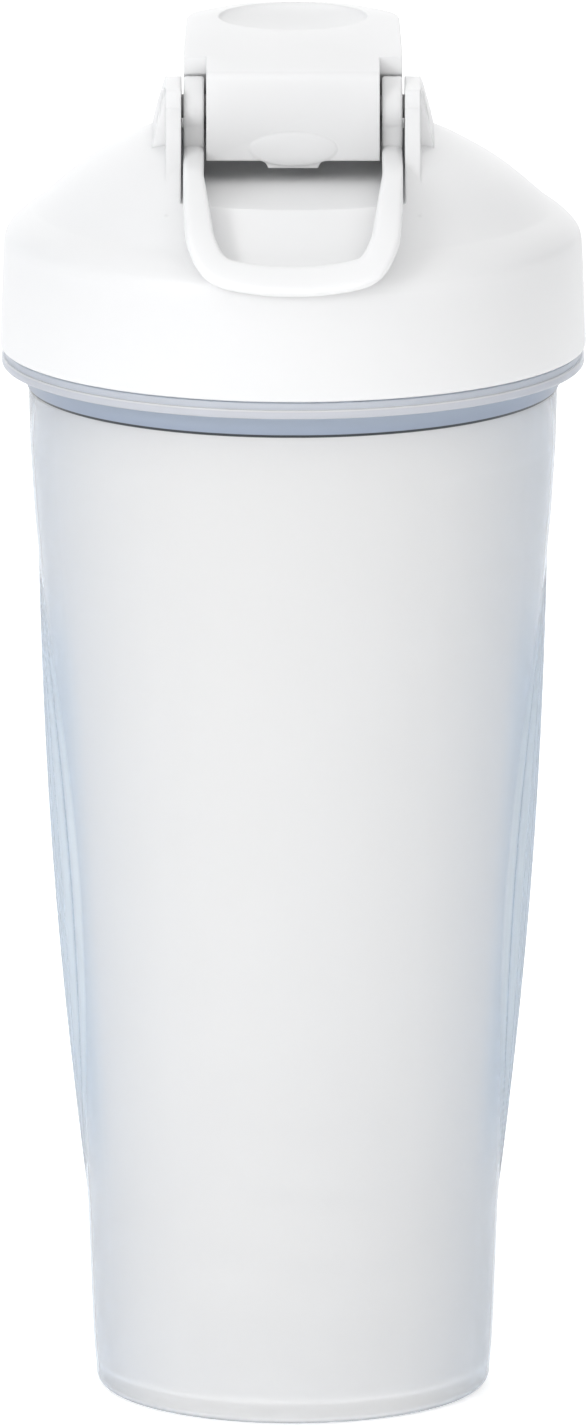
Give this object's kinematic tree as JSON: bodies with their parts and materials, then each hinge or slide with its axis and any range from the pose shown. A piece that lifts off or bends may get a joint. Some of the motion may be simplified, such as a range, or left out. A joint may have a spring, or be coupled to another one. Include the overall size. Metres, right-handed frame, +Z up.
{
  "type": "protein shaker bottle",
  "caption": "Tapered see-through shaker cup with a white screw lid, flip cap over a drinking spout, swinging carry loop and loose wire whisk ball.",
  "frame": {"origin": "middle of the bottle's bottom, on the surface that it stands on", "axes": "+Z up along the bottle, +Y towards the spout, -Y towards the carry loop, X along the hinge"},
  "size_m": [0.0984, 0.1007, 0.2323],
  "materials": {
    "frosted_plastic": "frosted, see-through",
    "white_plastic": "satin, finely grained",
    "soft_rubber": "matte silicone",
    "steel_wire": "bright drawn wire"
  },
  "bodies": {
    "cup": {"cup": "frosted_plastic"},
    "lid_lift": {"lid_seal": "soft_rubber"},
    "lid": {"lid": "white_plastic", "hinge_pin_right": "white_plastic", "hinge_pin_left": "white_plastic"},
    "flip_cap": {"flip_cap": "white_plastic", "spout_plug": "soft_rubber"},
    "carry_loop": {"carry_loop": "white_plastic"},
    "whisk_ball": {"whisk_ball": "steel_wire"}
  },
  "joints": [
    {"name": "lid_rise", "type": "slide", "parent": "cup", "child": "lid_lift", "axis": [0, 0, 1], "range_m": [0, 0.016]},
    {"name": "lid_turn", "type": "hinge", "parent": "lid_lift", "child": "lid", "pos_m": [0, 0, 0.17895], "axis": [0, 0, 1], "range_deg": [0, 720]},
    {"name": "cap_flip", "type": "hinge", "parent": "lid", "child": "flip_cap", "pos_m": [0, -0.0057, 0.22065], "axis": [1, 0, 0], "range_deg": [0, 95]},
    {"name": "loop_swing", "type": "hinge", "parent": "lid", "child": "carry_loop", "pos_m": [0, -0.0057, 0.22065], "axis": [-1, 0, 0], "range_deg": [0, 55]},
    {"name": "whisk_rise", "type": "slide", "parent": "cup", "child": "whisk_ball", "axis": [0, 0, 1], "range_m": [0, 0.13]}
  ],
  "couplings": [
    {"joint": "lid_rise", "follows": "lid_turn", "m_per_rad": 0.0012732}
  ]
}
